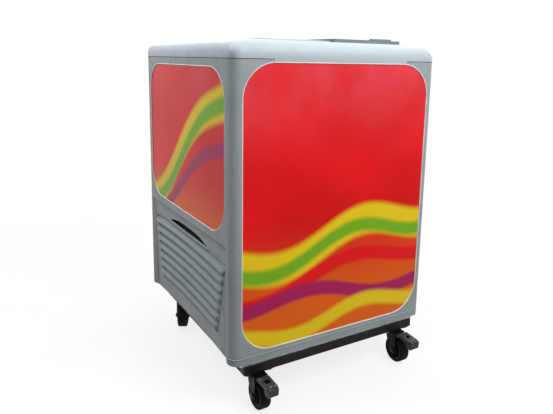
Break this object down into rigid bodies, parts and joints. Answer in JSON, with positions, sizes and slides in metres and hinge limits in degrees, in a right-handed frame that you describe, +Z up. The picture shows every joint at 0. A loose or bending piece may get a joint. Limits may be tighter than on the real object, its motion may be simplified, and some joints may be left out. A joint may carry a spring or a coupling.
{
  "type": "chest freezer",
  "caption": "Small sliding-lid chest freezer with printed side panels, louvred grilles and a castered angle-steel trolley with toe brakes.",
  "frame": {"origin": "on the floor under the centre of the footprint, toe brakes included", "axes": "+Z up, front faces -Y, +X to the right as seen from the front"},
  "size_m": [0.6676, 0.757, 1.001],
  "materials": {
    "shell_plastic": "fine-grained",
    "top_plastic": "fine-grained",
    "printed_sheet": "glossy print",
    "lid_plastic": "fine-grained",
    "lid_pale_plastic": "fine-grained",
    "lid_glass": "clear",
    "trolley_paint": "semi-gloss",
    "fastener_steel": "zinc plated",
    "caster_steel": "semi-gloss",
    "hub_plastic": "moulded",
    "tyre_rubber": "matt",
    "lever_steel": "zinc plated",
    "pad_plastic": "moulded",
    "jacket_steel": "satin",
    "galvanised_steel": "galvanised",
    "foam": "cellular",
    "liner_metal": "stucco",
    "copper_tube": "drawn",
    "drain_plastic": "smooth",
    "plug_rubber": "smooth",
    "machine_black": "gloss",
    "machine_plastic": "smooth",
    "mount_rubber": "smooth",
    "coated_wire": "plastic coated"
  },
  "bodies": {
    "cabinet": {"trolley_frame": "trolley_paint", "trolley_bolts": "fastener_steel", "caster_plates": "caster_steel", "base_pan": "galvanised_steel", "cabinet_jacket": "jacket_steel", "foam_insulation": "foam", "tub_liner": "liner_metal", "evaporator_coil": "copper_tube", "drain_tube": "drain_plastic", "top_frame": "top_plastic", "front_frame": "shell_plastic", "rear_post_left": "shell_plastic", "rear_post_right": "shell_plastic", "side_frame_left": "shell_plastic", "side_frame_right": "shell_plastic", "grille_left": "shell_plastic", "grille_right": "shell_plastic", "front_panel": "printed_sheet", "side_panel_left": "printed_sheet", "side_panel_right": "printed_sheet", "rear_cover": "jacket_steel", "rear_cover_screws": "fastener_steel", "cord_gland": "machine_plastic", "thermostat_body": "machine_plastic", "compressor": "machine_black", "terminal_box": "machine_plastic", "compressor_mounts": "mount_rubber", "condenser": "machine_black", "fan_shroud": "machine_plastic", "fan_motor": "galvanised_steel", "refrigerant_pipes": "copper_tube"},
    "lower_lid": {"lower_lid_frame": "lid_pale_plastic", "lower_lid_glass": "lid_glass"},
    "upper_lid": {"upper_lid_frame": "lid_plastic", "upper_lid_glass": "lid_glass", "upper_lid_grip": "lid_plastic"},
    "basket": {"hanging_basket": "coated_wire"},
    "drain_plug": {"drain_plug": "plug_rubber"},
    "fan": {"fan_blade": "machine_plastic"},
    "thermostat_knob": {"thermostat_knob": "machine_plastic"},
    "fork_front_left": {"fork_front_left": "caster_steel", "axle_front_left": "fastener_steel"},
    "wheel_front_left": {"wheel_hub_front_left": "hub_plastic", "tyre_front_left": "tyre_rubber"},
    "brake_front_left": {"brake_lever_front_left": "lever_steel", "foot_pad_front_left": "pad_plastic"},
    "fork_front_right": {"fork_front_right": "caster_steel", "axle_front_right": "fastener_steel"},
    "wheel_front_right": {"wheel_hub_front_right": "hub_plastic", "tyre_front_right": "tyre_rubber"},
    "brake_front_right": {"brake_lever_front_right": "lever_steel", "foot_pad_front_right": "pad_plastic"},
    "fork_rear_left": {"fork_rear_left": "caster_steel", "axle_rear_left": "fastener_steel"},
    "wheel_rear_left": {"wheel_hub_rear_left": "hub_plastic", "tyre_rear_left": "tyre_rubber"},
    "fork_rear_right": {"fork_rear_right": "caster_steel", "axle_rear_right": "fastener_steel"},
    "wheel_rear_right": {"wheel_hub_rear_right": "hub_plastic", "tyre_rear_right": "tyre_rubber"}
  },
  "joints": [
    {"name": "lower_lid_slide", "type": "slide", "parent": "cabinet", "child": "lower_lid", "axis": [1, 0, 0], "range_m": [0, 0.22]},
    {"name": "upper_lid_slide", "type": "slide", "parent": "cabinet", "child": "upper_lid", "axis": [-1, 0, 0], "range_m": [0, 0.22]},
    {"name": "basket_slide", "type": "slide", "parent": "cabinet", "child": "basket", "axis": [0, 1, 0], "range_m": [0, 0.26]},
    {"name": "drain_plug_lift", "type": "slide", "parent": "cabinet", "child": "drain_plug", "axis": [0, 0, 1], "range_m": [0, 0.03]},
    {"name": "fan_spin", "type": "hinge", "parent": "cabinet", "child": "fan", "pos_m": [-0.244, -0.0715, 0.233], "axis": [1, 0, 0], "continuous": true},
    {"name": "thermostat_turn", "type": "hinge", "parent": "cabinet", "child": "thermostat_knob", "pos_m": [0.15, 0.374, 0.367], "axis": [0, 1, 0], "range_deg": [0, 280]},
    {"name": "swivel_front_left", "type": "hinge", "parent": "cabinet", "child": "fork_front_left", "pos_m": [-0.248, -0.2655, 0.1], "axis": [0, 0, 1], "continuous": true},
    {"name": "roll_front_left", "type": "hinge", "parent": "fork_front_left", "child": "wheel_front_left", "pos_m": [-0.248, -0.2985, 0.04], "axis": [1, 0, 0], "continuous": true},
    {"name": "brake_press_front_left", "type": "hinge", "parent": "fork_front_left", "child": "brake_front_left", "pos_m": [-0.248, -0.2805, 0.087], "axis": [1, 0, 0], "range_deg": [0, 7]},
    {"name": "swivel_front_right", "type": "hinge", "parent": "cabinet", "child": "fork_front_right", "pos_m": [0.248, -0.2655, 0.1], "axis": [0, 0, 1], "continuous": true},
    {"name": "roll_front_right", "type": "hinge", "parent": "fork_front_right", "child": "wheel_front_right", "pos_m": [0.248, -0.2985, 0.04], "axis": [1, 0, 0], "continuous": true},
    {"name": "brake_press_front_right", "type": "hinge", "parent": "fork_front_right", "child": "brake_front_right", "pos_m": [0.248, -0.2805, 0.087], "axis": [1, 0, 0], "range_deg": [0, 7]},
    {"name": "swivel_rear_left", "type": "hinge", "parent": "cabinet", "child": "fork_rear_left", "pos_m": [-0.248, 0.2785, 0.1], "axis": [0, 0, 1], "continuous": true},
    {"name": "roll_rear_left", "type": "hinge", "parent": "fork_rear_left", "child": "wheel_rear_left", "pos_m": [-0.26349, 0.24936, 0.04], "axis": [0.8829, -0.4695, 0], "continuous": true},
    {"name": "swivel_rear_right", "type": "hinge", "parent": "cabinet", "child": "fork_rear_right", "pos_m": [0.248, 0.2785, 0.1], "axis": [0, 0, 1], "continuous": true},
    {"name": "roll_rear_right", "type": "hinge", "parent": "fork_rear_right", "child": "wheel_rear_right", "pos_m": [0.23251, 0.24936, 0.04], "axis": [0.8829, -0.4695, 0], "continuous": true}
  ]
}
